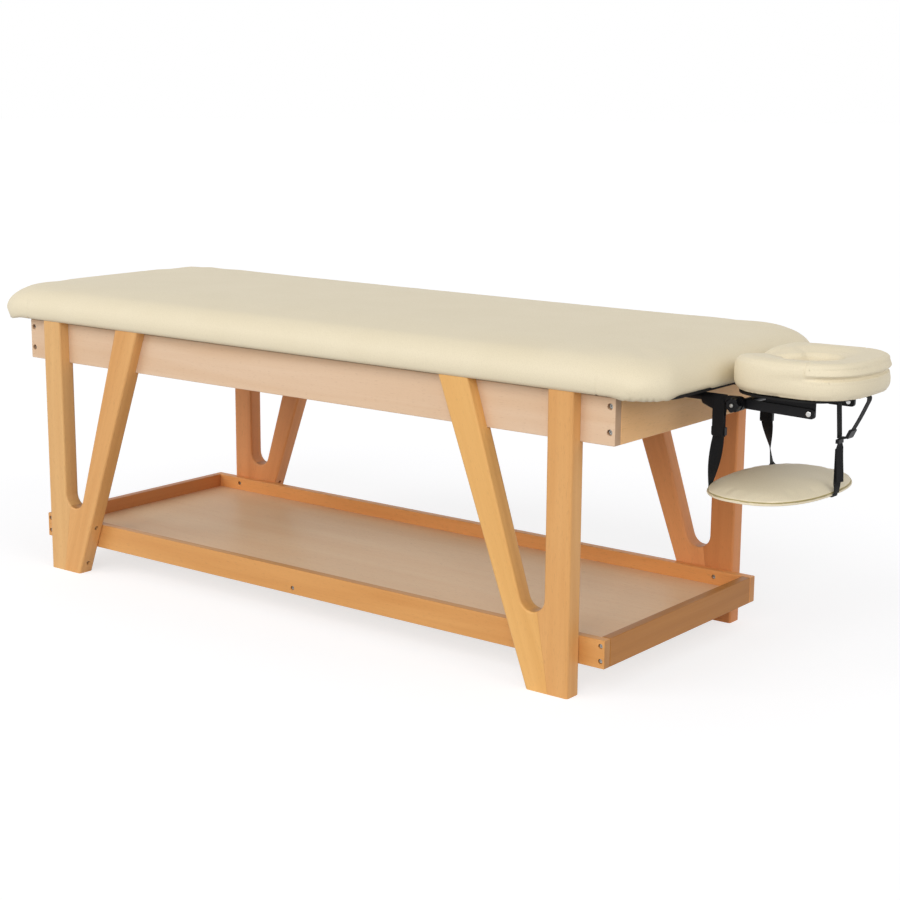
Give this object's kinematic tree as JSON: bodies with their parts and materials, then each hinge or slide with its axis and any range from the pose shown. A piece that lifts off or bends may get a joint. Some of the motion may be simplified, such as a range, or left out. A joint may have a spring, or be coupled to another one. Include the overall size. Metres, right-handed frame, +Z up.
{
  "type": "massage table",
  "caption": "Stationary massage table: cream padded top on a beech frame with V legs and a storage shelf, sliding and tilting face rest, arm rest hung on straps.",
  "frame": {"origin": "on the floor, under the middle of the overall length and width", "axes": "+X along the table to the head end, where the face rest is; +Y to the far side; +Z up"},
  "size_m": [2.176, 0.6992, 0.6923],
  "materials": {
    "beech": "clear satin lacquer on honey-coloured beech",
    "pale_beech": "clear satin lacquer on paler beech",
    "plywood": "thin pinkish plywood, satin",
    "cream_leather": "fine-grained leather cloth over foam, soft sheen",
    "black_board": "matt black board",
    "black_plastic": "moulded, matt",
    "webbing": "woven black webbing",
    "black_steel": "satin black coating",
    "steel": "bright plated steel"
  },
  "bodies": {
    "table": {"apron_near": "pale_beech", "apron_far": "pale_beech", "apron_head": "pale_beech", "apron_foot": "pale_beech", "leg_post_near_head": "beech", "leg_post_near_foot": "beech", "leg_post_far_head": "beech", "leg_post_far_foot": "beech", "leg_brace_near_head": "beech", "leg_brace_near_foot": "beech", "leg_brace_far_head": "beech", "leg_brace_far_foot": "beech", "shelf_rail_near": "beech", "shelf_rail_far": "beech", "shelf_rail_head": "beech", "shelf_rail_foot": "beech", "shelf_panel": "plywood", "shelf_batten": "beech", "pad_board": "black_board", "table_pad": "cream_leather", "rod_socket_near": "steel", "rod_socket_far": "steel"},
    "cradle_base": {"cradle_rod_near": "black_steel", "cradle_rod_far": "black_steel", "knuckle_near": "black_steel", "knuckle_far": "black_steel", "clamp_bolt": "steel", "rear_strap_loop_near": "webbing", "rear_strap_loop_far": "webbing", "rear_buckle_near": "black_plastic", "rear_buckle_far": "black_plastic"},
    "clamp_knob": {"clamp_knob": "black_plastic"},
    "cradle_arms": {"arm_near": "black_steel", "arm_far": "black_steel", "arm_spacer": "steel", "tilt_pin_near": "steel", "tilt_pin_far": "steel", "loop_slide": "black_plastic"},
    "face_rest": {"bracket_near": "black_steel", "bracket_far": "black_steel", "tie_rod": "black_steel", "platform": "black_board", "hook_pad_near": "webbing", "hook_pad_far": "webbing", "face_cushion": "cream_leather", "front_strap_loop": "webbing"},
    "armrest_hanger": {"rear_strap_near": "webbing", "rear_strap_far": "webbing"},
    "armrest": {"armrest_board": "black_board", "armrest_pad": "cream_leather", "strap_end_near": "webbing", "strap_end_far": "webbing", "strap_end_front": "webbing"},
    "front_strap": {"front_strap": "webbing", "front_buckle": "black_plastic"},
    "front_strap_tail": {"front_strap_tail": "webbing"}
  },
  "joints": [
    {"name": "cradle_slide", "type": "slide", "parent": "table", "child": "cradle_base", "axis": [1, 0, 0], "range_m": [0, 0.1]},
    {"name": "clamp_turn", "type": "hinge", "parent": "cradle_base", "child": "clamp_knob", "pos_m": [0.847, -0.113, 0.581], "axis": [0, 1, 0], "range_deg": [0, 270]},
    {"name": "arm_drop", "type": "hinge", "parent": "cradle_base", "child": "cradle_arms", "pos_m": [0.847, 0, 0.581], "axis": [0, 1, 0], "range_deg": [0, 25]},
    {"name": "face_tilt", "type": "hinge", "parent": "cradle_arms", "child": "face_rest", "pos_m": [0.992, 0, 0.577], "axis": [0, 1, 0], "range_deg": [0, 40], "deforming": ["front_strap_loop"]},
    {"name": "armrest_height", "type": "slide", "parent": "cradle_base", "child": "armrest_hanger", "axis": [0, 0, 1], "range_m": [-0.03, 0]},
    {"name": "armrest_swing", "type": "hinge", "parent": "armrest_hanger", "child": "armrest", "pos_m": [0.79387, 0.02666, 0.411], "axis": [0.0943, 0.9955, 0], "range_deg": [0, 17]},
    {"name": "front_strap_swing", "type": "hinge", "parent": "cradle_arms", "child": "front_strap", "pos_m": [1.0167, 0, 0.521], "axis": [0, 1, 0], "range_deg": [-43, 0]},
    {"name": "front_strap_feed", "type": "slide", "parent": "front_strap", "child": "front_strap_tail", "axis": [0, 0, 1], "range_m": [-0.03, 0]}
  ],
  "couplings": [
    {"joint": "armrest_swing", "follows": "arm_drop", "ratio": 0.6447},
    {"joint": "front_strap_swing", "follows": "arm_drop", "ratio": -1.6867},
    {"joint": "front_strap_feed", "follows": "armrest_height", "ratio": 1}
  ]
}
